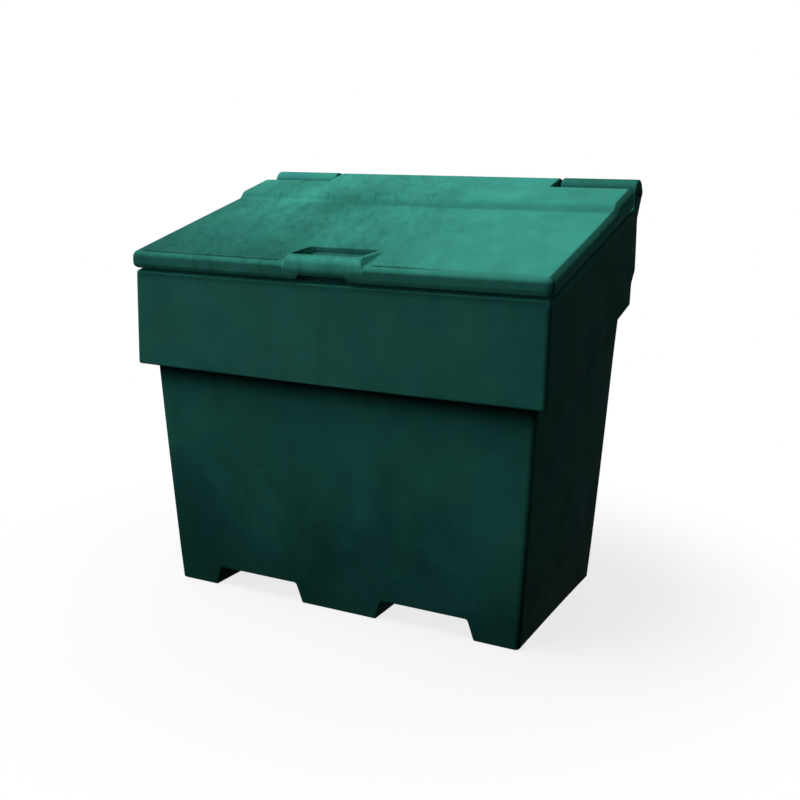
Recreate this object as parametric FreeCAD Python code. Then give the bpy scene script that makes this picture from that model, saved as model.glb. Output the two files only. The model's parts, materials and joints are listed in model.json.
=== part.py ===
import FreeCAD, Part
import math
import os

# Grit salt bin, in millimetres. X runs across the bin, Y from its front (negative) to its rear,
# and Z up from the ground. The origin is the centre of the tub's footprint on the ground.
# Angles are in degrees. The body and the lid are rotational mouldings in polyethylene.

# Tub
base_width = 891.4
base_depth = 512.6
front_draft = 4.46
side_draft = 2.88
rear_draft = 1.04
wall = 6.0
tub_corner_radius = 12.0
foot_edge_radius = 4.0

# Fork channels, which leave three hollow runners as feet
fork_spacing = 437.0
fork_mouth_width = 242.0
fork_roof_width = 211.0
fork_height = 48.0
fork_roof_radius = 8.0

# Band round the top of the tub, whose shoulder and rim both follow the lid's slope. Its overhangs
# count from where the tub's walls would be at the height of the front rim. One edge radius serves
# the shoulder, the rear side edges and the knuckles, because they meet at the rear corners.
band_height = 218.0
rim_height = 764.0
side_overhang = 18.9
front_overhang = 17.6
rear_overhang = 4.1
lid_slope = 15.4
band_corner_radius = 10.0
edge_radius = 4.0
rim_edge_radius = 7.0
lip_edge_bevel = 2.0

# Step-out of the rear wall below the hinge
shelf_above_shoulder = 35.8
shelf_rise = 30.0
shelf_overhang = 27.0
shelf_lean = 9.0
shelf_edge_radius = 14.0
shelf_root_radius = 10.0

# Hinge: a rod through a knuckle at each end of the body, and the barrel of the lid between them
hinge_overhang = 19.0
knuckle_length = 188.0
knuckle_radius = 30.0
knuckle_neck_drop = 61.0
knuckle_inner_bevel = 2.5
barrel_relief = 1.0
hinge_gap = 8.0
rod_radius = 6.0
rod_clearance = 0.08
saddle_clearance = 8.0

# Heel on the barrel, which meets the rear edge of the body and stops the open lid
open_angle = 110.0
stop_clearance = 0.5
heel_lean = 18.5
heel_above = 18.0
heel_below = 8.0

# Caps pushed onto the ends of the rod
cap_radius = 11.0
cap_thickness = 5.0
cap_socket = 3.0
cap_edge_bevel = 1.5
cap_clearance = 0.3

# Mouth, with a standing lip that keeps the rain out
mouth_side_ledge = 46.0
mouth_front_ledge = 44.0
mouth_hinge_setback = 119.0
mouth_corner_radius = 40.0
lip_wall = 6.0

# Lid, a hollow moulding with two skins
lid_side_overlap = 7.0
lid_front_overlap = 9.0
lid_thickness = 39.6
lid_skin = 4.5
lid_gap = 6.0
lid_hinge_setback = 62.0
lid_corner_radius = 18.0
lid_top_radius = 15.0
lid_bottom_radius = 12.0
tongue_edge_radius = 4.0
ridge_rise = 13.0
ridge_setback = 207.0
ridge_run = 30.0
recess_depth = 18.0
lip_clearance = 7.0
lip_rear_clearance = 12.0
rest_clearance = 0.3

# Grip moulded into the middle of the lid's front edge: a raised hood round a pocket, over a scoop
hood_width = 192.0
hood_crest_width = 176.0
hood_height = 19.0
hood_length = 111.0
hood_front_radius = 22.0
hood_cheek_radius = 4.0
pocket_front_width = 166.0
pocket_rear_width = 174.0
pocket_depth = 13.0
pocket_front_rim = 14.0
pocket_rear_rim = 3.0
pocket_corner_radius = 8.0
scoop_width = 140.0
scoop_roof_width = 118.0
scoop_height = 14.0
scoop_depth = 32.0
scoop_lip_radius = 10.0

# Groove behind the lid's front edge, and the kiss-off channels that tie the two skins together
groove_radius = 4.0
groove_depth = 1.4
groove_setback = 17.0
groove_end_margin = 45.0
groove_fade = 40.0
kiss_count = 4
kiss_pitch = 216.0
kiss_width = 44.0
kiss_length = 290.0
kiss_setback = 122.0
kiss_taper = 5.0

# Places that follow from the sizes above
slope = math.tan(math.radians(lid_slope))
tilt = math.cos(math.radians(lid_slope))


def tub_half_width(z):
    return base_width / 2 + z * math.tan(math.radians(side_draft))


def tub_front(z):
    return -base_depth / 2 - z * math.tan(math.radians(front_draft))


def tub_rear(z):
    return base_depth / 2 + z * math.tan(math.radians(rear_draft))


band_half_width = tub_half_width(rim_height) + side_overhang
band_front = tub_front(rim_height) - front_overhang
band_rear = tub_rear(rim_height) + rear_overhang
shelf_rear = band_rear + shelf_overhang
deck_rear = shelf_rear - shelf_lean
mouth_half_width = band_half_width - mouth_side_ledge
mouth_front = band_front + mouth_front_ledge
hinge_y = band_rear + hinge_overhang
mouth_rear = hinge_y - mouth_hinge_setback
lid_half_width = band_half_width + lid_side_overlap
lid_front = band_front - lid_front_overlap
lid_rear = hinge_y - lid_hinge_setback
knuckle_start = band_half_width - knuckle_length
tongue_half_width = knuckle_start - hinge_gap
barrel_radius = knuckle_radius - barrel_relief
saddle_radius = barrel_radius + saddle_clearance
lip_height = lid_gap + recess_depth - rest_clearance
bore_radius = rod_radius + rod_clearance
reach = 2 * (base_width + rim_height)


def rim_z(y):
    return rim_height + (y - band_front) * slope


def shoulder_z(y):
    return rim_z(y) - band_height


def lid_bottom_z(y):
    return rim_z(y) + lid_gap


def lid_top_z(y):
    return lid_bottom_z(y) + lid_thickness


# The lid's rear top face runs tangent onto its barrel, which sets the height of the hinge
hinge_z = lid_top_z(hinge_y) + ridge_rise - barrel_radius / tilt
shelf_z = shoulder_z(band_rear) + shelf_above_shoulder
neck_z = hinge_z - knuckle_neck_drop

# The heel's flat comes to the rear edge of the saddle when the lid is open. It faces a direction
# that leans back from the edge's place in the closed lid, so that its foot keeps off the saddle.
stop_angle = -math.degrees(math.acos((deck_rear - hinge_y) / saddle_radius))
heel_turn = stop_angle + open_angle - heel_lean
heel_reach = saddle_radius * math.cos(math.radians(heel_lean)) - stop_clearance


def vec(x, y, z):
    return FreeCAD.Vector(x, y, z)


def outline(start, *steps):
    """Closed wire in the YZ plane. A step is a point for a line, or (through, end) for an arc."""
    edges = []
    here = start
    for step in steps + (start,):
        if isinstance(step[0], tuple):
            through, end = step
            edges.append(Part.Arc(vec(0, *here), vec(0, *through), vec(0, *end)).toShape())
            here = end
        elif math.dist(step, here) > 1e-6:
            edges.append(Part.LineSegment(vec(0, *here), vec(0, *step)).toShape())
            here = step
    return Part.Wire(edges)


def across(wire, x_low, x_high):
    """Extrudes a closed YZ wire along X."""
    face = Part.Face(wire)
    face.translate(vec(x_low, 0, 0))
    return face.extrude(vec(x_high - x_low, 0, 0))


def polygon(points):
    return Part.Face(Part.makePolygon(points + points[:1]))


def rounded_rectangle(half_width, y_front, y_rear, radius, z):
    """Closed horizontal wire with four round corners."""
    bend = radius * (1 - math.sqrt(0.5))
    x, r = half_width, radius
    corners = [
        (vec(-x, y_front + r, z), vec(-x + bend, y_front + bend, z), vec(-x + r, y_front, z)),
        (vec(x - r, y_front, z), vec(x - bend, y_front + bend, z), vec(x, y_front + r, z)),
        (vec(x, y_rear - r, z), vec(x - bend, y_rear - bend, z), vec(x - r, y_rear, z)),
        (vec(-x + r, y_rear, z), vec(-x + bend, y_rear - bend, z), vec(-x, y_rear - r, z)),
    ]
    edges = []
    for index, corner in enumerate(corners):
        edges.append(Part.Arc(*corner).toShape())
        edges.append(Part.LineSegment(corner[2], corners[(index + 1) % 4][0]).toShape())
    return Part.Wire(edges)


def column(half_width, y_front, y_rear, radius):
    """Upright prism with round corners, taller than the bin."""
    return Part.Face(rounded_rectangle(half_width, y_front, y_rear, radius, 0)).extrude(vec(0, 0, reach))


def layer(plane_z, low, high):
    """Broad plate between two heights above one of the sloping planes."""
    side = outline((-reach, plane_z(-reach) + low), (-reach, plane_z(-reach) + high),
                   (reach, plane_z(reach) + high), (reach, plane_z(reach) + low))
    return across(side, -reach, reach)


def hinge_bar(radius, x_low, x_high):
    """Cylinder on the hinge axis."""
    return Part.makeCylinder(radius, x_high - x_low, vec(x_low, hinge_y, hinge_z), vec(1, 0, 0))


def mirrored(shape):
    return shape.mirror(vec(0, 0, 0), vec(1, 0, 0))


def joined(*shapes):
    return shapes[0].fuse(list(shapes[1:])).removeSplitter().Solids[0]


def without(shape, *tools):
    return shape.cut(list(tools)).removeSplitter()


def rounded(shape, radius, test):
    """Fillets the edges whose two end points pass a test together."""
    chosen = [edge for edge in shape.Edges if test(edge.Vertexes[0].Point, edge.Vertexes[-1].Point)]
    return shape.makeFillet(radius, chosen)


def bevelled(shape, width, test):
    """Chamfers the edges whose two end points pass a test together."""
    chosen = [edge for edge in shape.Edges if test(edge.Vertexes[0].Point, edge.Vertexes[-1].Point)]
    return shape.makeChamfer(width, chosen)


def hollow_edge(shape, radius, test):
    """Flats that keep as far inside a round edge as a fillet of this radius would."""
    return bevelled(shape, (2 - math.sqrt(2)) * radius, test)


def same(*values):
    return max(values) - min(values) < 0.01


def on_hinge_circle(angle, radius):
    """Point in YZ at an angle round the hinge axis, counted from +Y towards +Z."""
    turn = math.radians(angle)
    return (hinge_y + radius * math.cos(turn), hinge_z + radius * math.sin(turn))


def touch_angle(out, up, radius, side):
    """Where a line touches a circle round the hinge axis, from a point given from that axis."""
    return math.degrees(math.atan2(up, out) + side * math.acos(radius / math.hypot(out, up)))


# Body

def tub_form(inset):
    """Drafted tub that runs up into the band, drawn in by inset on every side."""
    top = (rim_height + shoulder_z(band_rear)) / 2
    low_half = tub_half_width(inset) - inset
    top_half = tub_half_width(top) - inset
    front_view = polygon([vec(-low_half, -reach, inset), vec(low_half, -reach, inset),
                          vec(top_half, -reach, top), vec(-top_half, -reach, top)])
    side_view = outline((tub_front(inset) + inset, inset), (tub_front(top) + inset, top),
                        (tub_rear(top) - inset, top), (tub_rear(inset) - inset, inset))
    block = across(side_view, -reach, reach).common(front_view.extrude(vec(0, 2 * reach, 0)))
    return rounded(block, tub_corner_radius - inset, lambda a, b: not same(a.z, b.z))


def band_form(inset):
    """Band and rear step-out, from the shoulder to the rim."""
    rise = inset / tilt
    half_width = band_half_width - inset
    front = band_front + inset
    rear = band_rear - inset
    step = shelf_rear - inset
    top = deck_rear - inset
    side = outline((front, shoulder_z(front) + rise), (front, rim_z(front) - rise),
                   (top, rim_z(top) - rise), (top, neck_z), (step, shelf_z + shelf_rise),
                   (rear, shelf_z), (rear, shoulder_z(rear) + rise))
    shape = rounded(across(side, -half_width, half_width), band_corner_radius - inset,
                    lambda a, b: same(a.y, b.y, front) and same(a.x, b.x))
    shape = rounded(shape, shelf_edge_radius - inset,
                    lambda a, b: same(a.y, b.y, step) and not same(a.x, b.x))
    return rounded(shape, shelf_root_radius + inset,
                   lambda a, b: same(a.y, b.y, rear) and same(a.z, b.z, shelf_z) and not same(a.x, b.x))


def knuckle_form(inset):
    """Right-hand hinge knuckle: a barrel on a neck that stands on the band."""
    radius = knuckle_radius - inset
    root_z = neck_z - knuckle_radius
    neck_y = deck_rear - inset
    touch = touch_angle(neck_y - hinge_y, neck_z - hinge_z, radius, 1)
    side = outline((hinge_y - radius, root_z), (hinge_y - radius, hinge_z),
                   (on_hinge_circle(90, radius), on_hinge_circle(touch, radius)),
                   (neck_y, neck_z), (neck_y, root_z))
    return across(side, knuckle_start + inset, band_half_width - inset)


def fork_channel(grow):
    """Right-hand fork channel through the foot of the tub, from front to rear."""
    lean = (fork_mouth_width - fork_roof_width) / 2 / fork_height
    centre = fork_spacing / 2
    mouth = fork_mouth_width / 2 + grow + lean * wall
    roof = fork_roof_width / 2 + grow - lean * grow
    top = fork_height + grow
    section = polygon([vec(centre - mouth, -reach, -wall), vec(centre - roof, -reach, top),
                       vec(centre + roof, -reach, top), vec(centre + mouth, -reach, -wall)])
    return rounded(section.extrude(vec(0, 2 * reach, 0)), fork_roof_radius + grow,
                   lambda a, b: same(a.x, b.x) and same(a.z, b.z, top))


def tub_outer():
    """Tub with the fork channels cut through its foot, and the edges of the feet and arches rounded."""
    channel = fork_channel(0)
    outer_foot = (fork_spacing + fork_mouth_width) / 2 + 1

    def foot_or_arch(a, b):
        along_channel = same(a.x, b.x) and a.z > 1
        up_a_corner = min(abs(a.x), abs(b.x)) > outer_foot and max(a.z, b.z) > 1
        return max(a.z, b.z) < fork_height + 1 and not along_channel and not up_a_corner

    shape = without(tub_form(0), channel, mirrored(channel)).Solids[0]
    return rounded(shape, foot_edge_radius, foot_or_arch)


def body_outer():
    """Outside of the body with its edges rounded, still solid."""
    knuckle_front = hinge_y - knuckle_radius
    knuckle = knuckle_form(0)
    shape = joined(tub_outer(), band_form(0), knuckle, mirrored(knuckle))

    def on_plane(plane_z, *points):
        return all(same(point.z, plane_z(point.y)) for point in points)

    shape = rounded(shape, rim_edge_radius,
                    lambda a, b: on_plane(rim_z, a, b) and min(a.y, b.y) < knuckle_front - 1)
    shape = rounded(shape, edge_radius,
                    lambda a, b: on_plane(shoulder_z, a, b)
                    and max(abs(a.x), abs(b.x)) > band_half_width - band_corner_radius - 1)
    shape = rounded(shape, edge_radius,
                    lambda a, b: same(abs(a.x), abs(b.x), band_half_width)
                    and min(a.y, b.y) > knuckle_front - 1)
    return bevelled(shape, knuckle_inner_bevel,
                    lambda a, b: same(abs(a.x), abs(b.x), knuckle_start) and max(a.z, b.z) > hinge_z - 1)


def body_void():
    """Inside of the body, with the walls of the fork channels and of the saddle left standing."""
    knuckle = knuckle_form(wall)
    channel = fork_channel(wall)
    saddle_half = knuckle_start + wall
    return without(joined(tub_form(wall), band_form(wall), knuckle, mirrored(knuckle)),
                   channel, mirrored(channel), hinge_bar(saddle_radius + wall, -saddle_half, saddle_half))


def make_body():
    mouth = column(mouth_half_width, mouth_front, mouth_rear, mouth_corner_radius)
    lip = column(mouth_half_width + lip_wall, mouth_front - lip_wall, mouth_rear + lip_wall,
                 mouth_corner_radius + lip_wall).common(layer(rim_z, -wall / 2, lip_height))
    lip = bevelled(lip, lip_edge_bevel, lambda a, b: same(a.z, rim_z(a.y) + lip_height))
    opening = mouth.common(layer(rim_z, -2 * wall, 2 * lip_height))
    bore_end = band_half_width + wall
    shell = body_outer().cut(body_void()).fuse(lip)
    return without(shell, opening, hinge_bar(saddle_radius, -knuckle_start, knuckle_start),
                   hinge_bar(bore_radius, -bore_end, bore_end))


# Lid

def off_chord(a, b, offset):
    """Point beside the middle of the line from a to b, to the left of it."""
    share = offset / math.dist(a, b)
    return ((a[0] + b[0]) / 2 - (b[1] - a[1]) * share, (a[1] + b[1]) / 2 + (b[0] - a[0]) * share)


def plate_form(inset):
    """Sloping plate of the lid, whose top rises over an S-shaped ridge.

    Its edges are bullnoses, or flats where an inset form makes the hollow inside.
    """
    rise = inset / tilt
    half_width = lid_half_width - inset
    front = lid_front + inset
    rear = lid_rear - inset
    ramp_start = hinge_y - ridge_setback
    ramp_end = ramp_start + ridge_run
    low = (ramp_start, lid_top_z(ramp_start) - rise)
    high = (ramp_end, lid_top_z(ramp_end) + ridge_rise - rise)
    middle = ((low[0] + high[0]) / 2, (low[1] + high[1]) / 2)
    steepness = math.atan2(high[1] - low[1], high[0] - low[0]) - math.radians(lid_slope)
    bulge = math.dist(low, middle) / 2 * math.tan(steepness / 2)
    side = outline((front, lid_bottom_z(front) + rise), (front, lid_top_z(front) - rise), low,
                   (off_chord(low, middle, -bulge), middle), (off_chord(middle, high, bulge), high),
                   (rear, lid_top_z(rear) + ridge_rise - rise), (rear, lid_bottom_z(rear) + rise))
    soften = hollow_edge if inset else rounded

    def upper(point):
        return point.z > lid_bottom_z(point.y) + lid_thickness / 2

    shape = soften(across(side, -half_width, half_width), lid_corner_radius - inset,
                   lambda a, b: same(a.y, b.y) and same(a.x, b.x))
    shape = soften(shape, lid_top_radius - inset,
                   lambda a, b: upper(a) and upper(b)
                   and not (same(a.y, b.y) and front + 1 < a.y < rear - 1))
    return soften(shape, lid_bottom_radius - inset, lambda a, b: not upper(a) and not upper(b))


def tongue_form(inset):
    """Rear of the lid between the knuckles: it ends in the barrel, whose rear carries the stop heel."""
    rise = inset / tilt
    radius = barrel_radius - inset
    root = lid_rear - lid_thickness
    top = 90 + lid_slope
    upper = heel_turn + touch_angle(heel_reach, heel_above, barrel_radius, 1)
    lower = heel_turn + touch_angle(heel_reach, -heel_below, barrel_radius, -1)
    drop = (hinge_z - lid_bottom_z(hinge_y)) * tilt - inset
    bottom = lid_slope - 90 - math.degrees(math.acos(drop / radius))

    def heel_corner(angle):
        turn = math.radians(angle - heel_turn)
        out = heel_reach - inset
        up = (radius - out * math.cos(turn)) / math.sin(turn)
        return on_hinge_circle(heel_turn + math.degrees(math.atan2(up, out)), math.hypot(out, up))

    side = outline((root, lid_bottom_z(root) + rise), (root, lid_top_z(root) + ridge_rise - rise),
                   on_hinge_circle(top, radius),
                   (on_hinge_circle((top + upper) / 2, radius), on_hinge_circle(upper, radius)),
                   heel_corner(upper), heel_corner(lower), on_hinge_circle(lower, radius),
                   (on_hinge_circle((lower + bottom) / 2, radius), on_hinge_circle(bottom, radius)))
    half_width = tongue_half_width - inset
    return across(side, -half_width, half_width)


def hood_form(inset):
    """Wedge that rises above the lid's front edge and runs down into its plate, with sloping cheeks."""
    front = lid_front + inset
    rear = lid_front + hood_length
    crest = lid_top_z(lid_front) + hood_height - inset
    fall = (lid_top_z(rear) - inset / tilt - crest) / (rear - front)
    end_y = rear + hood_length / 4
    low = -lid_thickness / 2
    side = outline((front, lid_top_z(front) + low), (front, crest), (end_y, crest + (end_y - front) * fall),
                   (end_y, lid_top_z(end_y) + low))
    wedge = across(side, -hood_width, hood_width)
    flare = (hood_width - hood_crest_width) / 2 / hood_height
    base = hood_width / 2 - inset - low * flare
    top = hood_crest_width / 2 - inset
    corners = ((-base, low), (-top, hood_height), (top, hood_height), (base, low))
    end = polygon([vec(x, lid_front, lid_top_z(lid_front) + z) for x, z in corners])
    wedge = wedge.common(end.extrude(vec(0, 2 * hood_length, 2 * hood_length * slope)))
    wedge = rounded(wedge, hood_front_radius - inset,
                    lambda a, b: same(a.y, b.y, front) and same(a.z, b.z, crest))
    if inset:
        return wedge
    return rounded(wedge, hood_cheek_radius,
                   lambda a, b: min(a.z - lid_top_z(a.y), b.z - lid_top_z(b.y)) > low / 2
                   and a.x * b.x > 0 and not same(a.y, b.y))


def pocket(grow):
    """Well in the hood, with a floor parallel to the lid."""
    front = lid_front + pocket_front_rim - grow
    rear = lid_front + hood_length - pocket_rear_rim + grow
    front_half, rear_half = pocket_front_width / 2 + grow, pocket_rear_width / 2 + grow
    well = polygon([vec(-front_half, front, 0), vec(front_half, front, 0), vec(rear_half, rear, 0),
                    vec(-rear_half, rear, 0)]).extrude(vec(0, 0, reach))
    well = rounded(well, pocket_corner_radius + grow, lambda a, b: same(a.x, b.x) and same(a.y, b.y))
    return well.common(layer(lid_top_z, -pocket_depth - grow / tilt, reach))


def scoop(grow):
    """Finger scoop under the front edge, with a round upper lip and slanted ends."""
    underside = lid_bottom_z(lid_front)
    floor = underside - lid_gap
    roof = underside + scoop_height + grow
    lip = scoop_lip_radius - grow
    bend = lip * (1 - math.sqrt(0.5))
    nose = lid_front + grow
    rear = lid_front + scoop_depth + grow
    side = outline((lid_front - reach, floor), (lid_front - reach, roof + lip), (nose, roof + lip),
                   ((nose + bend, roof + bend), (nose + lip, roof)), (rear, roof), (rear, floor))
    hollow = rounded(across(side, -scoop_width, scoop_width), scoop_lip_radius,
                     lambda a, b: same(a.y, b.y, rear) and same(a.z, b.z, roof))
    flare = (scoop_width - scoop_roof_width) / 2 / scoop_height

    def end(side_sign, z):
        return vec(side_sign * (scoop_width / 2 + grow - (z - underside) * flare), -reach, z)

    front_view = polygon([end(-1, floor), end(-1, roof + lip), end(1, roof + lip), end(1, floor)])
    return hollow.common(front_view.extrude(vec(0, 2 * reach, 0)))


def recess(grow):
    """Space under the lid that takes the lip round the mouth."""
    half_width = mouth_half_width + lip_wall + lip_clearance + grow
    y_front = mouth_front - lip_wall - lip_clearance - grow
    y_rear = mouth_rear + lip_wall + lip_rear_clearance + grow
    plan = column(half_width, y_front, y_rear, mouth_corner_radius + lip_wall + lip_clearance + grow)
    return plan.common(layer(lid_bottom_z, -lid_gap / 2, recess_depth + grow / tilt))


def kiss_channel(centre, grow):
    """Tapered channel that goes up from the recess until the two skins meet."""
    front = lid_front + kiss_setback - grow
    rear = lid_front + kiss_setback + kiss_length + grow
    half = kiss_width / 2 + grow

    def section(lift, taper):
        corners = ((-1, front + taper), (1, front + taper), (1, rear - taper), (-1, rear - taper))
        points = [vec(centre + sign * (half - taper), y, lid_bottom_z(y) + lift) for sign, y in corners]
        return Part.makePolygon(points + points[:1])

    return Part.makeLoft([section(recess_depth - lid_skin, 0),
                          section(lid_thickness - 2 * (lid_skin - grow) / tilt, kiss_taper)], True, True)


def kiss_channels(grow):
    first = -kiss_pitch * (kiss_count - 1) / 2
    return [kiss_channel(first + index * kiss_pitch, grow) for index in range(kiss_count)]


def groove():
    """Right-hand half of the shallow groove behind the front edge, which stops short of the grip."""
    y = lid_front + groove_setback
    z = lid_top_z(y) + (groove_radius - groove_depth) / tilt
    start = hood_width / 2 + groove_setback
    end = lid_half_width - groove_end_margin
    bar = Part.makeCylinder(groove_radius, end - start, vec(start, y, z), vec(1, 0, 0))
    tip = Part.makeCone(groove_radius, 0, groove_fade, vec(end, y, z), vec(1, 0, 0))
    return joined(bar, tip)


def lid_outer():
    tongue = rounded(tongue_form(0), tongue_edge_radius,
                     lambda a, b: same(abs(a.x), abs(b.x), tongue_half_width) and min(a.z, b.z) > hinge_z)
    return joined(plate_form(0), tongue, hood_form(0))


def lid_void():
    inside = joined(plate_form(lid_skin), tongue_form(lid_skin), hood_form(lid_skin))
    return without(inside, recess(lid_skin), pocket(lid_skin), scoop(lid_skin), *kiss_channels(lid_skin))


def make_lid():
    right_groove = groove()
    bore = hinge_bar(bore_radius, -tongue_half_width, tongue_half_width)
    return without(lid_outer(), lid_void(), recess(0), pocket(0), scoop(0),
                   right_groove, mirrored(right_groove), bore, *kiss_channels(0))


# Hinge rod and its caps

def make_rod():
    half_length = band_half_width + cap_clearance + cap_socket
    return hinge_bar(rod_radius, -half_length, half_length)


def make_cap():
    """Right-hand cap: a disc with a round edge and a blind hole that is pushed onto the rod."""
    inner = band_half_width + cap_clearance
    outer = inner + cap_thickness
    disc = bevelled(hinge_bar(cap_radius, inner, outer), cap_edge_bevel, lambda a, b: same(a.x, b.x, outer))
    return disc.cut(hinge_bar(bore_radius, inner, inner + cap_socket))


def save(shape, name):
    solid = shape.Solids[0]
    litres = round(solid.Volume / 1e6, 3)
    print(name, "solids", len(shape.Solids), "valid", solid.isValid(), "litres", litres)
    solid.exportStep("parts/" + name + ".step")


os.makedirs("parts", exist_ok=True)
right_cap = make_cap()
save(make_body(), "bin_body")
save(make_lid(), "lid")
save(make_rod(), "hinge_rod")
save(right_cap, "rod_cap_right")
save(mirrored(right_cap), "rod_cap_left")
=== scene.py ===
import bmesh
import bpy
import json
import math
from mathutils import Euler, Matrix, Vector, noise


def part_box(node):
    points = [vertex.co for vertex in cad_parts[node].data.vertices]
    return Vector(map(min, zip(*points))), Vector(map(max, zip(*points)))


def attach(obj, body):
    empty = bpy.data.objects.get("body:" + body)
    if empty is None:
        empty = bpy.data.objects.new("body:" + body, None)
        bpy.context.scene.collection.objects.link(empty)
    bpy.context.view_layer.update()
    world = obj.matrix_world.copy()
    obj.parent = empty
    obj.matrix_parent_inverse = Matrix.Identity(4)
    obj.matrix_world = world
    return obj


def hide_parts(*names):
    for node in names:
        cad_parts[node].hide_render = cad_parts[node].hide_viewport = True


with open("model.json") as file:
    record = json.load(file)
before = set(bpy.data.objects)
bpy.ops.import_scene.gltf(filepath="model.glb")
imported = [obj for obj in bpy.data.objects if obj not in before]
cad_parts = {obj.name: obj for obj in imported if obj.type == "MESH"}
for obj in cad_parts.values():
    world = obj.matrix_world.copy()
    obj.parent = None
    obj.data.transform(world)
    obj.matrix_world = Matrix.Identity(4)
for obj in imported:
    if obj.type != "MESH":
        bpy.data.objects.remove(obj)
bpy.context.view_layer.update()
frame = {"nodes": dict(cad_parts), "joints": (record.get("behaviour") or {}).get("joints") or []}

# Places and sizes are in metres, in the frame's own axes: X across, Y from front to rear, Z up.
# Left is towards negative X. Angles are in degrees.
hinge = Vector(frame["joints"][0]["pos_m"])
body_low, body_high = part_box("bin_body")
lid_low, lid_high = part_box("lid")

# Heights at the front, and the slope that the body's rim, its shoulder and the lid share
rim_height = 0.764
band_height = 0.218
shoulder_height = rim_height - band_height
lid_gap = 0.006
lid_thickness = 0.0396
lid_top = rim_height + lid_gap + lid_thickness
slope = math.tan(math.radians(15.4))

# Cells that a moulding is cut into
cell = 0.03
merge_distance = 1e-6
sharp_angle = 32

# Warp of the mouldings: walls bow out between their edges, the foot draws in, the lid and the band's
# shoulder sag, the shoulder falls lower towards the rear, and all but the hinge is slightly uneven.
# The seed keeps the unevenness the same in each run.
tub_bow = 0.003
band_bow = 0.002
edge_hold = 3
foot_height = 0.09
foot_draw = 0.004
lid_sag = 0.0025
lid_sag_reach = 0.05
shoulder_sag = 0.003
shoulder_sag_reach = 0.1
sag_before_front = 0.25
shoulder_drop = 0.016
drop_reach_above = 0.045
drop_reach_below = 0.15
unevenness = 0.0008
uneven_scale = 3.2
uneven_seed = 1
floor_calm = 0.2
calm_radius = 0.16

# Colours, as screen values from 0 to 255, and as linear shares for the tint and white
wall_green = (36, 92, 82)
# The lit greens are painted light: lighter copies of the wall green where a surface stands in full light
body_lit_green = (53, 134, 120)
lid_lit_green = (61, 150, 134)
chalky_green = (88, 150, 138)
zinc_dark = (142, 146, 150)
zinc_light = (186, 189, 192)
floor_pale = (250, 250, 250)
floor_dark = (44, 45, 46)
tint = (0.82, 0.93, 1.2, 1.0)
white = (1.0, 1.0, 1.0, 1.0)

# A scale counts a noise's marks per metre, and a stretch does so along each axis. A range is where a
# smooth step starts and where it ends, so it may run downwards. A tone is a share of the plain colour,
# and a swing is how far it goes either way.

# Plastic: noises that set its tone
cloud_scale = 2.4
cloud_range = (0.3, 0.7)
cloud_swing = 0.10
mottle_scale = 13.0
mottle_range = (0.25, 0.75)
mottle_swing = 0.08
streak_turn = (0, 0, 12)
streak_stretch = (14.0, 3.5, 3.5)
streak_range = (0.3, 0.72)
streak_swing = 0.05
grain_scale = 420.0
grain_range = (0.3, 0.7)
grain_swing = 0.04
speck_scale = 95.0
speck_range = (0.70, 0.76)
speck_tone = 0.72
patch_scale = 4.5
patch_range = (0.45, 0.65)
patch_tint = 0.6
lid_patch_tint = 0.12

# Plastic: scuffs and worn edges in the chalky colour, the edges also a painted sheen, relief in millimetres,
# and gloss
scuff_turn = (0, 12, 0)
scuff_stretch = (9.0, 150.0, 150.0)
scuff_line_range = (0.66, 0.72)
scuff_scale = 7.0
scuff_place_range = (0.5, 0.6)
scuff_wear = 0.10
# The chalky edges are partly worn and partly a painted sheen
edge_radius = 0.004
edge_samples = 6
edge_range = (0.995, 0.90)
edge_mottle_range = (0.35, 0.60)
edge_least = 0.35
edge_wear_and_sheen = 0.45
millimetre = 0.001
wave_scale = 5.0
wave_relief = 1.6
peel_scale = 55.0
peel_relief = 0.10
grain_relief = 0.035
scuff_relief = 0.06
smoothest = 0.50
roughest = 0.64
wear_roughness = 0.4
specular_level = 0.002

# Lid: painted shade in its left front corner, which wanders with the clouds and streaks, painted shade
# along the left of its front, and its lip, which is its front edge
corner_inset = 0.12
corner_cloud_wander = 0.12
corner_streak_wander = 0.05
corner_range = (0.85, 0.15)
corner_on_lip = 0.6
corner_tone = 0.52
front_range = (0.20, 0.03)
front_left_range = (0.05, -0.2)
front_tone = 0.78
past_lip_range = (0.012, 0.018)
lip_range = (0.010, 0.014)
lip_tone = 0.82

# Lid: marbling, which is weaker at the right
marbling_turn = (0, 0, 28)
marbling_stretch = (46.0, 15.0, 30.0)
marbling_range = (0.42, 0.68)
marbling_left_range = (0.3, -0.1)
marbling_at_right = 0.35
marbling_tones = (1.04, 0.84)

# Lid: grip and its pocket, counted back from the front edge
grip_half_width = 0.098
grip_length = 0.114
grip_blur = 0.002
pocket_half_width = 0.088
pocket_start = 0.0145
pocket_end = 0.109
pocket_blur = 0.001
grip_beside_range = (grip_half_width + grip_blur, grip_half_width)
grip_end_range = (grip_length + grip_blur, grip_length)
pocket_start_range = (pocket_start - pocket_blur, pocket_start + pocket_blur)
pocket_end_range = (pocket_end + pocket_blur, pocket_end - pocket_blur)
pocket_beside_range = (pocket_half_width + pocket_blur, pocket_half_width - pocket_blur)
pocket_level_range = (lid_top + 0.002, lid_top - 0.004)
pocket_up_range = (0.3, 0.8)
# Painted shade in the pocket, and painted light on its side walls
pocket_wall_shade = 0.45
pocket_floor_shade = 0.30
pocket_side_range = (0.3, 0.8)
pocket_side_light = 1.2
# Painted light on the top of the grip, and a painted highlight on its front and cheeks
lit_grip_level_range = (lid_top - 0.026, lid_top - 0.007)
cheek_beside_range = (pocket_half_width, pocket_half_width + pocket_blur)
cheek_side_range = (0.3, 0.7)
highlight_level_range = (lid_top - 0.02, lid_top)
highlight_up_range = (0.95, 0.6)
grip_highlight = 0.4

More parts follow.
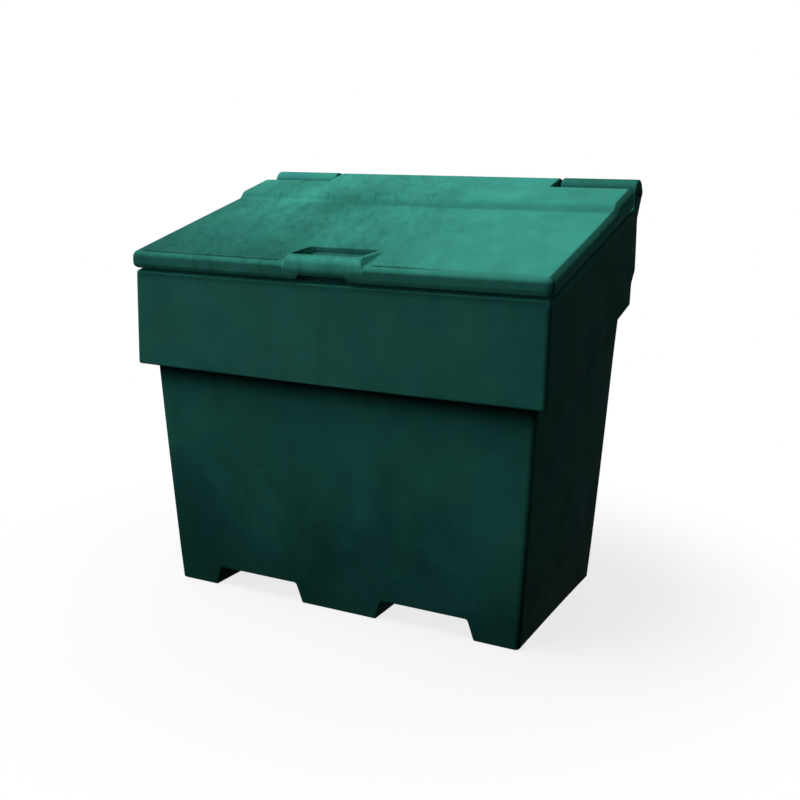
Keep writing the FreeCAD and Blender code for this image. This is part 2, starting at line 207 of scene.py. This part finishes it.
# Lid: its top side, and the groove, the ridge and what lies behind it, counted back likewise
top_side_range = (lid_top - 0.024, lid_top - 0.018)
# The groove's dark line and the ridge's dark foot are painted shade, and the ridge's pale left end is a
# painted highlight
groove_place = 0.015
groove_range = (0.007, 0.002)
groove_start_range = (grip_half_width + 0.013, grip_half_width + 0.017)
groove_end_range = (lid_high.x - 0.01, lid_high.x - 0.045)
groove_left_range = (0.32, 0.16)
groove_at_right = 0.2
groove_tone = 0.25
ridge_foot = 0.428
ridge_range = (0.024, 0.005)
ridge_streak_range = (0.35, 0.5)
ridge_least = 0.6
ridge_right_range = (-0.35, 0.0)
ridge_tone = 0.73
crest_range = (0.014, 0.003)
crest_left_range = (-0.05, -0.25)
crest_tone = 1.14
rear_range = (ridge_foot, ridge_foot + 0.06)
rear_tone = 1.06

# Lid: painted light, mostly by how far the surface faces up, forward or sideways
lit_up_range = (-0.3, 0.7)
not_front_range = (0.65, 0.35)
past_edge_range = (0.02, 0.04)
turned_side_range = (0.02, 0.36)
full_side_range = (0.5, 0.9)
side_light = 0.65
lower_edge_up_range = (0.0, -0.7)
lower_edge_range = (0.03, 0.015)
lower_edge_light = 0.7
left_edge_range = (0.1, -0.25)
left_edge_forward_range = (0.35, 0.65)
left_edge_up_range = (-0.7, 0.0)
left_edge_light = 0.5

# Body: darker towards the ground, which wanders with the clouds, painted shadow under the band, and painted
# shade on the sides
ground_wander = 0.08
full_tone_height = 0.8 * shoulder_height
ground_tone = 0.50
upper_tone = 1.02
# Painted shadow in the corner under the band
under_band_range = (0.065, 0.016)
under_band_edge_range = (-0.002, 0.002)
under_band_shadow = 0.95
# Painted shade on the sides
side_range = (0.5, 0.8)
side_rear_range = (-0.25, 0.30)
side_low_range = (0.40, 0.05)
left_to_right = (-0.5, 0.5)
side_shade = (0.4, 0.5)

# Body: painted shadow of the lid on its rim, its hinge knuckles, lighter at the left and darker at the right
# as painted light and shade, and painted light on these and the rim's edges
rim_inner_range = (body_high.x - 0.006, body_high.x - 0.014)
rim_level_range = (rim_height - 0.022, rim_height - 0.003)
rim_end_range = (rim_height + 0.012, rim_height + 0.008)
# Painted shadow of the lid on the rim
rim_shadow_tone = 0.74
knuckle_level_range = (rim_height + 0.008, rim_height + 0.014)
knuckle_across_range = (-0.4, 0.4)
# Painted light and shade: the knuckles are lighter at the left and darker at the right
knuckle_light_tones = (1.25, 0.75)
body_up_range = (-0.1, 0.8)
rim_top_range = (rim_height - 0.006, rim_height - 0.002)
rim_top_end_range = (rim_height + 0.004, rim_height + 0.002)
side_rim_level_range = (rim_height - 0.024, rim_height - 0.014)
side_rim_range = (body_high.x - 0.012, body_high.x - 0.004)
side_rim_light = 0.6
light_tone_edge_range = (0.6, 0.9)

# Zinc plate
spangle_scale = 260.0
spangle_range = (0.3, 0.7)
scratch_stretch = (30.0, 900.0, 900.0)
scratch_range = (0.3, 0.7)
scratch_depth = 0.0001
scratch_strength = 0.4
zinc_smoothest = 0.34
zinc_roughest = 0.52

# Camera
camera_place = Vector((1.1488, -2.2961, 0.9951))
camera_azimuth = 26.11
camera_elevation = 11.87
camera_roll = 1.28
camera_lens = 48.31
camera_sensor = 36

# Light and floor
key_direction = Vector((-0.34, -0.30, 0.89))
key_level = 0.99
key_size = 4.0
front_direction = Vector((-0.45, -0.88, 0.05))
front_level = 0.29
rear_direction = Vector((-0.25, 0.95, 0.15))
rear_level = 0.25
fill_size = 3.0
lamp_distance = 4.5
ambient_level = 0.058
floor_size = 30.0
floor_gap = 0.0005
floor_veil = 0.8
floor_fade = (0.55, 1.2)


def srgb(red, green, blue):
    """Linear colour from the 0 to 255 values of a screen colour."""
    def linear(value):
        share = value / 255
        return share / 12.92 if share <= 0.04045 else ((share + 0.055) / 1.055) ** 2.4
    return (linear(red), linear(green), linear(blue), 1.0)


class Tree:
    """Adds shader nodes to a material or a world, and links each one as it is made."""

    def __init__(self, owner):
        owner.use_nodes = True
        self.tree = owner.node_tree
        self.tree.nodes.clear()

    def set(self, socket, value):
        if isinstance(value, bpy.types.NodeSocket):
            self.tree.links.new(value, socket)
        else:
            socket.default_value = value

    def add(self, kind, **inputs):
        made = self.tree.nodes.new("ShaderNode" + kind)
        for name, value in inputs.items():
            self.set(made.inputs[name.replace("_", " ")], value)
        return made

    def finish(self, kind, shader):
        """Output of a material or a world, which takes the shader."""
        output = self.add("Output" + kind)
        self.set(output.inputs[0], shader.outputs[0])

    def maths(self, operation, first, *others):
        """Maths nodes in a row, each of which takes in one more value."""
        for other in others:
            made = self.add("Math")
            made.operation = operation
            self.set(made.inputs[0], first)
            self.set(made.inputs[1], other)
            first = made.outputs[0]
        return first

    def plus(self, *values):
        return self.maths("ADD", *values)

    def minus(self, *values):
        return self.maths("SUBTRACT", *values)

    def times(self, *values):
        return self.maths("MULTIPLY", *values)

    def most(self, *values):
        return self.maths("MAXIMUM", *values)

    def size(self, value):
        """Value without its sign."""
        return self.maths("ABSOLUTE", value, 0.0)

    def vector(self, operation, first, second=(0, 0, 0), scale=1.0):
        """Vector maths node, whose first output is a vector and second a value."""
        made = self.add("VectorMath")
        made.operation = operation
        self.set(made.inputs[0], first)
        self.set(made.inputs[1], second)
        self.set(made.inputs[3], scale)
        return made.outputs

    def along(self, vector, *directions):
        """How far a vector goes along each of some directions."""
        return [self.vector("DOT_PRODUCT", vector, direction)[1] for direction in directions]

    def mix(self, factor, first, second, blend="MIX"):
        made = self.add("Mix")
        made.data_type = "RGBA"
        made.blend_type = blend
        self.set(made.inputs[0], factor)
        self.set(made.inputs[6], first)
        self.set(made.inputs[7], second)
        return made.outputs[2]

    def step(self, value, low, high, to_low=0.0, to_high=1.0):
        """Smooth step of a value from one range onto another."""
        made = self.add("MapRange", Value=value)
        made.interpolation_type = "SMOOTHSTEP"
        for name, number in (("From Min", low), ("From Max", high), ("To Min", to_low), ("To Max", to_high)):
            made.inputs[name].default_value = number
        return made.outputs[0]

    def tone(self, mark, tone):
        """Tone that goes from 1 to the one given as a mark goes from nothing to full."""
        return self.step(mark, 0.0, 1.0, 1.0, tone)

    def swing(self, value, value_range, middle, amount):
        """Goes from an amount below the middle to the same above it as a value goes through its range."""
        return self.step(value, *value_range, middle - amount, middle + amount)

    def noise(self, vector, scale, detail=4.0, roughness=0.55, distortion=0.0):
        made = self.add("TexNoise", Vector=vector, Scale=scale, Detail=detail, Roughness=roughness,
                        Distortion=distortion)
        return made.outputs[0]

    def turned(self, vector, rotation, scale):
        """Coordinates turned by degrees and then stretched, for marks that run one way."""
        made = self.add("Mapping", Vector=vector)
        made.vector_type = "TEXTURE"
        made.inputs["Rotation"].default_value = [math.radians(angle) for angle in rotation]
        made.inputs["Scale"].default_value = [1 / share for share in scale]
        return made.outputs[0]

    def seen(self):
        """1 for rays from the camera, from gloss and through glass, and 0 for the rest."""
        rays = self.add("LightPath").outputs
        return self.most(rays["Is Camera Ray"], rays["Is Glossy Ray"], rays["Is Transmission Ray"])


class Surface:
    """Where a point of the surface lies, which way it faces, and the noises that its marks share.

    Beside is its distance from the middle, behind its distance from the lid's front edge, and level its
    height, brought down the slope to the front of the body. Right, forward and up are 1 where it faces
    so and -1 where it faces the other way, and sideways is 1 where it faces left or right.
    """

    def __init__(self, tree):
        coordinates = tree.add("TexCoord").outputs
        self.place = coordinates["Object"]
        self.across, self.along, self.height = tree.along(self.place, (1, 0, 0), (0, 1, 0), (0, 0, 1))
        self.beside = tree.size(self.across)
        self.behind = tree.minus(self.along, lid_low.y)
        self.level = tree.plus(*tree.along(self.place, (0, -slope, 1)), body_low.y * slope)

        facing = tree.along(coordinates["Normal"], (1, 0, 0), (0, -1, 0), (0, 0, 1))
        self.right, self.forward, self.up = facing
        self.sideways = tree.size(self.right)

        self.clouds = tree.noise(self.place, cloud_scale, detail=5.0, distortion=0.5)
        self.mottle = tree.noise(self.place, mottle_scale, detail=6.0, roughness=0.62)
        wiped = tree.turned(self.place, streak_turn, streak_stretch)
        self.streaks = tree.noise(wiped, 1.0, detail=5.0, roughness=0.62, distortion=0.6)


def front_painted_shade(tree, at):
    """Tone of the lid's left front corner and of the left of its front, both darkened as painted shade,
    and of its lip, which is darker.
    """
    corner_place = lid_low + Vector((corner_inset, 0, 0))
    reach = tree.plus(tree.vector("DISTANCE", at.place, corner_place)[1],
                      tree.swing(at.clouds, cloud_range, 0.0, corner_cloud_wander),
                      tree.swing(at.streaks, streak_range, 0.0, corner_streak_wander))
    # painted shade in the left front corner and along the left of the front
    corner = tree.times(tree.step(reach, *corner_range),
                        tree.step(at.behind, *past_lip_range, corner_on_lip, 1.0))
    front = tree.times(tree.step(at.behind, *front_range), tree.step(at.behind, *past_lip_range),
                       tree.step(at.across, *front_left_range))
    return tree.times(tree.tone(corner, corner_tone), tree.tone(front, front_tone),
                      tree.step(at.behind, *lip_range, lip_tone, 1.0))


def marbling(tree, at):
    """Tone of the lid's dark wisps."""
    wisps = tree.noise(tree.turned(at.place, marbling_turn, marbling_stretch), 1.0, detail=5.0,
                       roughness=0.65, distortion=0.8)
    marbled = tree.times(tree.step(wisps, *marbling_range),
                         tree.step(at.across, *marbling_left_range, marbling_at_right, 1.0))
    return tree.step(marbled, 0.0, 1.0, *marbling_tones)


def groove_and_ridge_shade(tree, at, top_side):
    """Tone of the lid's groove and the foot of its ridge, darkened as painted shade, of the ridge's left end,
    lightened as a painted highlight, and of what lies behind, which is lighter.
    """
    off_groove = tree.size(tree.minus(at.behind, groove_place))
    groove = tree.times(tree.step(off_groove, *groove_range), tree.step(at.beside, *groove_start_range),
                        tree.step(at.beside, *groove_end_range),
                        tree.step(at.across, *groove_left_range, groove_at_right, 1.0), top_side)
    off_ridge = tree.size(tree.minus(at.behind, ridge_foot))
    foot = tree.times(tree.step(off_ridge, *ridge_range),
                      tree.step(at.streaks, *ridge_streak_range, ridge_least, 1.0),
                      tree.step(at.across, *ridge_right_range), top_side)
    crest = tree.times(tree.step(off_ridge, *crest_range), tree.step(at.across, *crest_left_range), top_side)
    return tree.times(tree.tone(groove, groove_tone), tree.step(at.behind, *rear_range, 1.0, rear_tone),
                      tree.tone(foot, ridge_tone), tree.tone(crest, crest_tone))


def grip_marks(tree, at, top_side):
    """Tone of the grip and its pocket, and which parts of them get painted light in full.

    The pocket is darkened by painted shade, most of all on its front and rear walls, while its side walls
    are lightened by painted light. The front of the grip and its cheeks are lightened by a painted highlight.
    """
    pocket = tree.times(tree.step(at.behind, *pocket_start_range), tree.step(at.behind, *pocket_end_range),
                        tree.step(at.beside, *pocket_beside_range), tree.step(at.level, *pocket_level_range),
                        top_side)
    # painted shade in the pocket, and painted light on its side walls
    pocket_shade = tree.minus(tree.step(at.up, *pocket_up_range, pocket_wall_shade, pocket_floor_shade),
                        tree.step(at.sideways, *pocket_side_range, 0.0, pocket_side_light))

    grip = tree.times(tree.step(at.beside, *grip_beside_range), tree.step(at.behind, *grip_end_range))
    # painted light on the grip, and a painted highlight on its front and cheeks
    lit_grip = tree.times(grip, tree.step(at.level, *lit_grip_level_range))
    cheek = tree.times(grip, tree.step(at.beside, *cheek_beside_range),
                       tree.step(at.sideways, *cheek_side_range), lit_grip)
    front = tree.times(lit_grip, tree.step(at.level, *highlight_level_range),
                       tree.step(at.up, *highlight_up_range, 0.0, grip_highlight))
    tone = tree.times(tree.minus(1.0, tree.times(pocket, pocket_shade)), tree.plus(1.0, tree.most(front, cheek)))
    return tone, tree.most(lit_grip, pocket)


def lid_painted_light(tree, at):
    """How far light is painted on the lid: its top, its sides, and its front edge below and at the left."""
    side = tree.times(tree.most(tree.step(at.forward, *not_front_range),
                                tree.step(at.behind, *past_edge_range)), at.sideways)
    top = tree.times(tree.step(at.up, *lit_up_range), tree.step(side, *turned_side_range, 1.0, 0.0))
    top_and_sides = tree.plus(top, tree.step(side, *full_side_range, 0.0, side_light))
    lower_edge = tree.times(tree.step(at.up, *lower_edge_up_range, 0.0, lower_edge_light),
                            tree.step(at.behind, *lower_edge_range))
    left_edge = tree.times(tree.step(at.across, *left_edge_range, 0.0, left_edge_light),
                           tree.step(at.forward, *left_edge_forward_range),
                           tree.step(at.up, *left_edge_up_range))
    return tree.most(top_and_sides, lower_edge, left_edge)


def lid_tones_and_light(tree, at):
    """Tone of the lid, in part painted shade, how far light is painted on it, and how far its edges can be
    worn.
    """
    top_side = tree.step(at.level, *top_side_range)
    grip_tone, fully_lit = grip_marks(tree, at, top_side)
    tone = tree.times(front_painted_shade(tree, at), marbling(tree, at), groove_and_ridge_shade(tree, at, top_side),
                      grip_tone)
    return tone, tree.most(lid_painted_light(tree, at), fully_lit), 1.0


def body_darkening_and_shade(tree, at):
    """Tone of the body: darker towards the ground, with a painted shadow in the corner under its band and
    painted shade on its sides.

    The painted shade on the sides is deepest low down and towards the rear, on the right side a little more
    than on the left.
    """
    wavy = tree.plus(at.height, tree.swing(at.clouds, cloud_range, 0.0, ground_wander))
    ground = tree.step(wavy, 0.0, full_tone_height, ground_tone, upper_tone)
    dropped = tree.step(at.along, body_low.y, body_high.y, 0.0, shoulder_drop)
    below = tree.minus(shoulder_height, at.level, dropped)
    # painted shadow under the band
    under_band = tree.times(tree.step(below, *under_band_range, 0.0, under_band_shadow),
                            tree.step(below, *under_band_edge_range))
    rear_or_low = tree.most(tree.step(at.along, *side_rear_range), tree.step(at.height, *side_low_range))
    # painted shade on the sides
    sides = tree.times(tree.step(at.sideways, *side_range), rear_or_low,
                       tree.step(at.right, *left_to_right, *side_shade))
    return tree.times(ground, tree.minus(1.0, under_band), tree.minus(1.0, sides))


def body_tones_and_light(tree, at):
    """Tone of the body, in part painted shade, how far light is painted on it, and how far its edges can be
    worn.

    Its rim carries a painted shadow of the lid, and its hinge knuckles are lighter at the left and darker
    at the right as painted light and shade. Only the knuckles, which stand above the rim, and the rim's own
    edges get painted light. Edges whose tone is low, mostly from painted shade, don't look worn.
    """
    # painted shadow of the lid on the rim
    rim = tree.times(tree.step(at.level, *rim_level_range), tree.step(at.beside, *rim_inner_range),
                     tree.step(at.level, *rim_end_range))
    knuckle = tree.step(at.level, *knuckle_level_range)
    # painted light and shade on the knuckles, lighter at the left
    knuckle_tone = tree.step(tree.times(knuckle, at.across), *knuckle_across_range, *knuckle_light_tones)
    tone = tree.times(body_darkening_and_shade(tree, at), tree.tone(rim, rim_shadow_tone), knuckle_tone)

    # painted light on the knuckle tops and the rim's edges
    upward = tree.step(at.up, *body_up_range)
    rim_top = tree.times(tree.step(at.level, *rim_top_range), tree.step(at.level, *rim_top_end_range), upward)
    side_rim = tree.times(tree.step(at.level, *side_rim_level_range),
                          tree.step(at.beside, *side_rim_range, 0.0, side_rim_light))
    lit_share = tree.most(tree.times(upward, knuckle), side_rim, rim_top)
    return tone, lit_share, tree.step(tone, *light_tone_edge_range)


def even_tones_and_light(tree, at):
    """Finish of a small piece: no tone of its own, no painted light, and edges that can be worn."""
    return 1.0, 0.0, 1.0


def skin_tone(tree, at, grain):
    """Tone of the plastic's clouds, mottling, wiped streaks, grain and specks."""
    specks = tree.step(tree.noise(at.place, speck_scale, detail=2.0, roughness=0.5), *speck_range)
    return tree.times(tree.swing(at.clouds, cloud_range, 1.0, cloud_swing),
                      tree.swing(at.mottle, mottle_range, 1.0, mottle_swing),
                      tree.swing(at.streaks, streak_range, 1.0, streak_swing),
                      tree.swing(grain, grain_range, 1.0, grain_swing), tree.tone(specks, speck_tone))


def scuff_marks(tree, at):
    """Where fine scratches lie on the plastic, in a few places only."""
    lines = tree.noise(tree.turned(at.place, scuff_turn, scuff_stretch), 1.0, detail=3.0)
    places = tree.noise(at.place, scuff_scale, detail=3.0, roughness=0.5)
    return tree.times(tree.step(lines, *scuff_line_range), tree.step(places, *scuff_place_range))


def worn_edges_and_sheen(tree, at, rounded):
    """Where an edge is worn and carries a painted sheen, which is where its rounded normal departs from the
    true one.
    """
    facing = tree.vector("DOT_PRODUCT", rounded, tree.add("NewGeometry").outputs["Normal"])[1]
    return tree.times(tree.step(facing, *edge_range),
                      tree.step(at.mottle, *edge_mottle_range, edge_least, 1.0))


def skin_relief(tree, at, grain, scuffs):
    """Height of the plastic's waves, orange peel, grain and scratches, in millimetres."""
    waves = tree.noise(at.place, wave_scale, detail=2.0, roughness=0.5)
    peel = tree.noise(at.place, peel_scale, detail=3.0)
    raised = tree.plus(tree.times(waves, wave_relief), tree.times(peel, peel_relief),
                       tree.times(grain, grain_relief))
    return tree.minus(raised, tree.times(scuffs, scuff_relief))


def polyethylene(name, lit_green, tinted, finish):
    """Moulded polyethylene: cloudy, tinted and mottled colour, wiped streaks, specks, scuffs, worn edges that
    also stand in for sheen.

    Lit green is a lighter copy of its green that stands in for full light, so it is painted light, shown
    where the lit share is high, and tinted says how far patches of it take the tint. The finish argument
    gives where the piece is darker, in part as painted shade, where light is painted and where its edges
    can be worn.
    """
    material = bpy.data.materials.new(name)
    tree = Tree(material)
    at = Surface(tree)
    tone_with_painted_shade, lit_share, edge_share = finish(tree, at)
    grain = tree.noise(at.place, grain_scale, detail=2.0, roughness=0.5)
    scuffs = scuff_marks(tree, at)
    soft_edge = tree.add("Bevel", Radius=edge_radius)
    soft_edge.samples = edge_samples
    rounded = soft_edge.outputs[0]
    # Edges in the chalky colour: partly worn, partly a painted sheen
    edges = tree.times(worn_edges_and_sheen(tree, at, rounded), edge_share)
    wear_and_sheen = tree.most(tree.times(scuffs, scuff_wear), tree.times(edges, edge_wear_and_sheen))

    patches = tree.noise(at.place, patch_scale, detail=3.0, distortion=0.4)
    # Painted light: the lit green where the lit share is high, the wall green where it is low
    plain = tree.mix(lit_share, srgb(*wall_green), srgb(*lit_green))
    plain = tree.mix(tree.step(patches, *patch_range, 0.0, tinted), plain, tint, "MULTIPLY")
    toned = tree.vector("SCALE", plain, scale=tree.times(skin_tone(tree, at, grain), tone_with_painted_shade))[0]
    painted = tree.mix(wear_and_sheen, toned, srgb(*chalky_green))

    relief = skin_relief(tree, at, grain, scuffs)
    bump = tree.add("Bump", Strength=1.0, Distance=millimetre, Height=relief, Normal=rounded)
    rough = tree.plus(tree.step(at.mottle, *mottle_range, smoothest, roughest),
                      tree.times(wear_and_sheen, wear_roughness))
    shader = tree.add("BsdfPrincipled", Base_Color=painted, Roughness=rough, Normal=bump.outputs[0])
    shader.inputs["Specular IOR Level"].default_value = specular_level
    tree.finish("Material", shader)
    return material


def zinc_plate(name):
    """Dull galvanised steel with faint spangle and fine lengthwise scratches."""
    material = bpy.data.materials.new(name)
    tree = Tree(material)
    place = tree.add("TexCoord").outputs["Object"]
    spangle = tree.noise(place, spangle_scale, detail=3.0, roughness=0.5)
    lengthwise = tree.turned(place, (0, 0, 0), scratch_stretch)
    scratches = tree.noise(lengthwise, 1.0, detail=2.0, roughness=0.5)
    painted = tree.mix(tree.step(spangle, *spangle_range), srgb(*zinc_dark), srgb(*zinc_light))
    rough = tree.step(scratches, *scratch_range, zinc_smoothest, zinc_roughest)
    bump = tree.add("Bump", Strength=scratch_strength, Distance=scratch_depth, Height=scratches)
    shader = tree.add("BsdfPrincipled", Base_Color=painted, Roughness=rough, Normal=bump.outputs[0])
    shader.inputs["Metallic"].default_value = 1.0
    tree.finish("Material", shader)
    return material


def ease(share):
    """Smooth step from 0 to 1."""
    share = min(max(share, 0.0), 1.0)
    return share * share * (3 - 2 * share)


def hump(value, low, high):
    """Half a sine wave between two places, and nothing outside them."""
    share = (value - low) / (high - low)
    return math.sin(math.pi * share) if 0 < share < 1 else 0.0


def moulded_offset(point):
    """How far a point of a moulding lies from its nominal place.

    Body and lid share the field, so that they still fit, and it is calm round the hinge.
    """
    rim = rim_height + (point.y - body_low.y) * slope
    shoulder = rim - band_height
    if point.z < shoulder:
        bow = tub_bow * hump(point.z, 0, shoulder) - foot_draw * ease(1 - point.z / foot_height)
    else:
        bow = band_bow * hump(point.z, shoulder, rim)
    across = hump(point.x, lid_low.x, lid_high.x)
    along = hump(point.y, lid_low.y, lid_high.y)
    beside = point.x / body_high.x
    behind = (point.y - (body_low.y + body_high.y) / 2) / ((body_high.y - body_low.y) / 2)
    offset = Vector((bow * along * beside ** edge_hold, bow * across * behind ** edge_hold, 0))

    off_shoulder = abs(point.z - shoulder)
    sag = lid_sag * ease((point.z - (rim - lid_sag_reach)) / lid_sag_reach)
    sag += shoulder_sag * ease(1 - off_shoulder / shoulder_sag_reach)
    offset.z -= sag * across * hump(point.y, lid_low.y - sag_before_front, hinge.y)
    drop_reach = drop_reach_above if point.z > shoulder else drop_reach_below
    dropped = ease(1 - off_shoulder / drop_reach)
    offset.z -= shoulder_drop * dropped * ease((point.y - body_low.y) / (body_high.y - body_low.y))

    wander = noise.noise_vector(point * uneven_scale) * unevenness
    wander.z *= ease(point.z / floor_calm)
    from_hinge = math.hypot(point.y - hinge.y, point.z - hinge.z)
    return (offset + wander) * ease((from_hinge - calm_radius / 2) / (calm_radius / 2))


def moulding(node, material):
    """Stands for a CAD moulding: the same shape, cut into cells so that its walls can bow and wander."""
    source = frame["nodes"][node].data
    shape = bmesh.new()
    points = [shape.verts.new(vertex.co) for vertex in source.vertices]
    for face in source.polygons:
        shape.faces.new([points[index] for index in face.vertices])
    bmesh.ops.remove_doubles(shape, verts=shape.verts, dist=merge_distance)
    low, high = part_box(node)
    for axis in range(3):
        direction = Vector([float(index == axis) for index in range(3)])
        count = math.ceil((high[axis] - low[axis]) / cell)
        for index in range(1, count):
            everything = shape.verts[:] + shape.edges[:] + shape.faces[:]
            bmesh.ops.bisect_plane(shape, geom=everything, dist=merge_distance,
                                   plane_co=low.lerp(high, index / count), plane_no=direction)
    for vertex in shape.verts:
        moved = vertex.co + moulded_offset(vertex.co)
        vertex.co = [min(max(moved[axis], low[axis]), high[axis]) for axis in range(3)]
    mesh = bpy.data.meshes.new(node + "_moulding")
    shape.to_mesh(mesh)
    shape.free()
    mesh.materials.append(material)
    mesh.shade_smooth()
    mesh.set_sharp_from_angle(angle=math.radians(sharp_angle))
    piece = bpy.data.objects.new(node + "_moulding", mesh)
    bpy.context.scene.collection.objects.link(piece)
    weighted = piece.modifiers.new("weighted_normals", "WEIGHTED_NORMAL")
    weighted.keep_sharp = True
    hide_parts(node)
    return piece


def repaint(node, material):
    """Gives a carried-over CAD node a finished material."""
    for slot in frame["nodes"][node].material_slots:
        slot.link = "OBJECT"
        slot.material = material


def add_floor():
    """Pale floor that keeps the object's shadow and fades into the white background.

    Only rays that are seen find it pale. It is dark to the rest, so that it sends little light back.
    """
    mesh = bpy.data.meshes.new("floor")
    half = floor_size / 2
    corners = [(x, y, -floor_gap) for x, y in ((-half, -half), (half, -half), (half, half), (-half, half))]
    mesh.from_pydata(corners, [], [(0, 1, 2, 3)])
    floor = bpy.data.objects.new("floor", mesh)
    bpy.context.scene.collection.objects.link(floor)

    material = bpy.data.materials.new("floor_paint")
    tree = Tree(material)
    reach = tree.vector("LENGTH", tree.add("TexCoord").outputs["Object"])[1]
    seen = tree.seen()
    lit = tree.add("BsdfDiffuse", Color=tree.mix(seen, srgb(*floor_dark), srgb(*floor_pale)))
    glow = tree.add("Emission", Color=white, Strength=1.0)
    veil = tree.times(seen, tree.step(reach, *floor_fade, floor_veil, 1.0))
    blended = tree.add("MixShader")
    for socket, value in zip(blended.inputs, (veil, lit.outputs[0], glow.outputs[0])):
        tree.set(socket, value)
    tree.finish("Material", blended)
    mesh.materials.append(material)


def add_world():
    """White to the eye and in reflections, and a low even light on the object."""
    world = bpy.data.worlds.new("studio")
    bpy.context.scene.world = world
    tree = Tree(world)
    colour = tree.mix(tree.seen(), (ambient_level, ambient_level, ambient_level, 1.0), white)
    tree.finish("World", tree.add("Background", Color=colour, Strength=1.0))


def add_lamp(name, direction, size, level):
    """Large soft lamp that shines on the object. At level 1 it shows a colour that faces it as written."""
    data = bpy.data.lights.new(name, "AREA")
    data.shape = "DISK"
    data.size = size
    data.energy = level * math.pi ** 2 * lamp_distance ** 2
    lamp = bpy.data.objects.new(name, data)
    lamp.location = (body_low + body_high) / 2 + direction.normalized() * lamp_distance
    lamp.rotation_euler = direction.to_track_quat("Z", "Y").to_euler()
    bpy.context.scene.collection.objects.link(lamp)


def add_camera():
    """Camera that sees the object as the photograph does."""
    data = bpy.data.cameras.new("camera")
    data.sensor_width = camera_sensor
    data.lens = camera_lens
    camera = bpy.data.objects.new("camera", data)
    tilt = Euler((math.radians(90 - camera_elevation), 0, 0)).to_matrix()
    turn = Matrix.Rotation(math.radians(camera_azimuth), 3, "Z")
    roll = Matrix.Rotation(math.radians(camera_roll), 3, "Z")
    camera.matrix_world = Matrix.Translation(camera_place) @ (turn @ tilt @ roll).to_4x4()
    bpy.context.scene.collection.objects.link(camera)
    bpy.context.scene.camera = camera


body_plastic = polyethylene("body_plastic", body_lit_green, patch_tint, body_tones_and_light)
lid_plastic = polyethylene("lid_plastic", lid_lit_green, lid_patch_tint, lid_tones_and_light)
cap_plastic = polyethylene("cap_plastic", wall_green, patch_tint, even_tones_and_light)
rod_steel = zinc_plate("rod_steel")

noise.seed_set(uneven_seed)
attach(moulding("bin_body", body_plastic), "bin")
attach(moulding("lid", lid_plastic), "lid")
repaint("hinge_rod", rod_steel)
for cap in ("rod_cap_left", "rod_cap_right"):
    repaint(cap, cap_plastic)

add_floor()
add_world()
add_lamp("key", key_direction, key_size, key_level)
add_lamp("front_fill", front_direction, fill_size, front_level)
add_lamp("rear_fill", rear_direction, fill_size, rear_level)
add_camera()
bpy.context.scene.view_settings.view_transform = "Standard"
